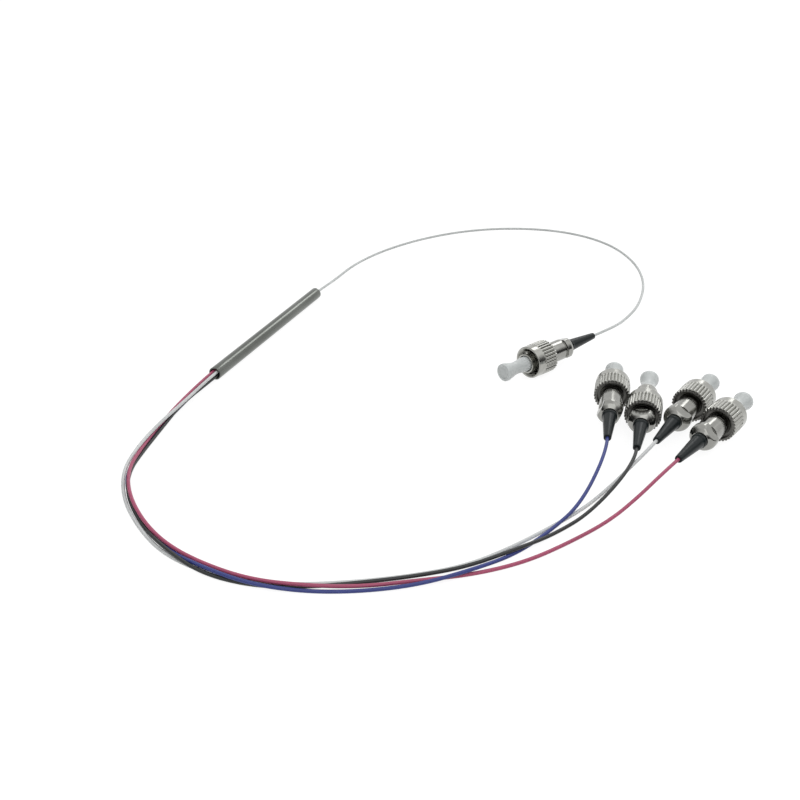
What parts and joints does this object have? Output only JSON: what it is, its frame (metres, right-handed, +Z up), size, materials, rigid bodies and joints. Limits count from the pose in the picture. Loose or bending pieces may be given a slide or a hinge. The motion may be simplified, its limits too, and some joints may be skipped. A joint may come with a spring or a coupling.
{
  "type": "fibre optic coupler",
  "caption": "Fused fibre optic coupler: slim steel tube with coloured pigtails that end in threaded connectors with knurled nuts, sprung ferrules and clear dust caps.",
  "frame": {"origin": "on the surface that the coupler lies on, below the middle of its steel tube", "axes": "+X along the tube to the input pigtail, +Z up from the surface"},
  "size_m": [0.2563, 0.1557, 0.01],
  "materials": {
    "steel": "satin, dark grey",
    "potting": "dull black resin",
    "quartz": "clear",
    "glass_fibre": "clear",
    "white_cord": "satin",
    "blue_cord": "satin",
    "black_cord": "satin",
    "red_cord": "satin",
    "boot_rubber": "matt black",
    "nickel": "nickel plated, satin",
    "spring_steel": "bright",
    "zirconia": "polished white ceramic",
    "clear_plastic": "translucent"
  },
  "bodies": {
    "coupler": {"steel_tube": "steel", "input_seal": "potting", "output_seal": "potting", "quartz_substrate": "quartz", "fused_taper": "glass_fibre", "input_cord": "white_cord", "input_boot": "boot_rubber", "input_rear_body": "nickel", "input_plug_frame": "nickel", "input_spring": "spring_steel", "blue_cord": "blue_cord", "blue_boot": "boot_rubber", "blue_rear_body": "nickel", "blue_plug_frame": "nickel", "blue_spring": "spring_steel", "black_cord": "black_cord", "black_boot": "boot_rubber", "black_rear_body": "nickel", "black_plug_frame": "nickel", "black_spring": "spring_steel", "white_cord": "white_cord", "white_boot": "boot_rubber", "white_rear_body": "nickel", "white_plug_frame": "nickel", "white_spring": "spring_steel", "red_cord": "red_cord", "red_boot": "boot_rubber", "red_rear_body": "nickel", "red_plug_frame": "nickel", "red_spring": "spring_steel"},
    "input_nut": {"input_coupling_nut": "nickel"},
    "input_ferrule_set": {"input_ferrule": "zirconia", "input_ferrule_flange": "nickel"},
    "input_cap": {"input_dust_cap": "clear_plastic"},
    "blue_nut": {"blue_coupling_nut": "nickel"},
    "blue_ferrule_set": {"blue_ferrule": "zirconia", "blue_ferrule_flange": "nickel"},
    "blue_cap": {"blue_dust_cap": "clear_plastic"},
    "black_nut": {"black_coupling_nut": "nickel"},
    "black_ferrule_set": {"black_ferrule": "zirconia", "black_ferrule_flange": "nickel"},
    "black_cap": {"black_dust_cap": "clear_plastic"},
    "white_nut": {"white_coupling_nut": "nickel"},
    "white_ferrule_set": {"white_ferrule": "zirconia", "white_ferrule_flange": "nickel"},
    "white_cap": {"white_dust_cap": "clear_plastic"},
    "red_nut": {"red_coupling_nut": "nickel"},
    "red_ferrule_set": {"red_ferrule": "zirconia", "red_ferrule_flange": "nickel"},
    "red_cap": {"red_dust_cap": "clear_plastic"}
  },
  "joints": [
    {"name": "input_nut_turn", "type": "hinge", "parent": "coupler", "child": "input_nut", "pos_m": [0.00118, -0.08693, 0.005], "axis": [-0.8812, 0.4728, 0], "continuous": true},
    {"name": "input_ferrule_press", "type": "slide", "parent": "coupler", "child": "input_ferrule_set", "axis": [0.8812, -0.4728, 0], "range_m": [0, 0.0008], "stiffness_N_per_m": 2500, "springref_m": -0.002, "deforming": ["input_spring"]},
    {"name": "input_cap_pull", "type": "slide", "parent": "input_ferrule_set", "child": "input_cap", "axis": [-0.8812, 0.4728, 0], "range_m": [0, 0.008]},
    {"name": "blue_nut_turn", "type": "hinge", "parent": "coupler", "child": "blue_nut", "pos_m": [-0.00208, -0.11401, 0.005], "axis": [0.9898, 0.1424, 0], "continuous": true},
    {"name": "blue_ferrule_press", "type": "slide", "parent": "coupler", "child": "blue_ferrule_set", "axis": [-0.9898, -0.1424, 0], "range_m": [0, 0.0008], "stiffness_N_per_m": 2500, "springref_m": -0.002, "deforming": ["blue_spring"]},
    {"name": "blue_cap_pull", "type": "slide", "parent": "blue_ferrule_set", "child": "blue_cap", "axis": [0.9898, 0.1424, 0], "range_m": [0, 0.008]},
    {"name": "black_nut_turn", "type": "hinge", "parent": "coupler", "child": "black_nut", "pos_m": [-0.00405, -0.12406, 0.005], "axis": [0.9971, 0.0767, 0], "continuous": true},
    {"name": "black_ferrule_press", "type": "slide", "parent": "coupler", "child": "black_ferrule_set", "axis": [-0.9971, -0.0767, 0], "range_m": [0, 0.0008], "stiffness_N_per_m": 2500, "springref_m": -0.002, "deforming": ["black_spring"]},
    {"name": "black_cap_pull", "type": "slide", "parent": "black_ferrule_set", "child": "black_cap", "axis": [0.9971, 0.0767, 0], "range_m": [0, 0.008]},
    {"name": "white_nut_turn", "type": "hinge", "parent": "coupler", "child": "white_nut", "pos_m": [0.00072, -0.13801, 0.005], "axis": [0.9718, -0.2358, 0], "continuous": true},
    {"name": "white_ferrule_press", "type": "slide", "parent": "coupler", "child": "white_ferrule_set", "axis": [-0.9718, 0.2358, 0], "range_m": [0, 0.0008], "stiffness_N_per_m": 2500, "springref_m": -0.002, "deforming": ["white_spring"]},
    {"name": "white_cap_pull", "type": "slide", "parent": "white_ferrule_set", "child": "white_cap", "axis": [0.9718, -0.2358, 0], "range_m": [0, 0.008]},
    {"name": "red_nut_turn", "type": "hinge", "parent": "coupler", "child": "red_nut", "pos_m": [-0.00715, -0.14714, 0.005], "axis": [0.9477, -0.3191, 0], "continuous": true},
    {"name": "red_ferrule_press", "type": "slide", "parent": "coupler", "child": "red_ferrule_set", "axis": [-0.9477, 0.3191, 0], "range_m": [0, 0.0008], "stiffness_N_per_m": 2500, "springref_m": -0.002, "deforming": ["red_spring"]},
    {"name": "red_cap_pull", "type": "slide", "parent": "red_ferrule_set", "child": "red_cap", "axis": [0.9477, -0.3191, 0], "range_m": [0, 0.008]}
  ]
}
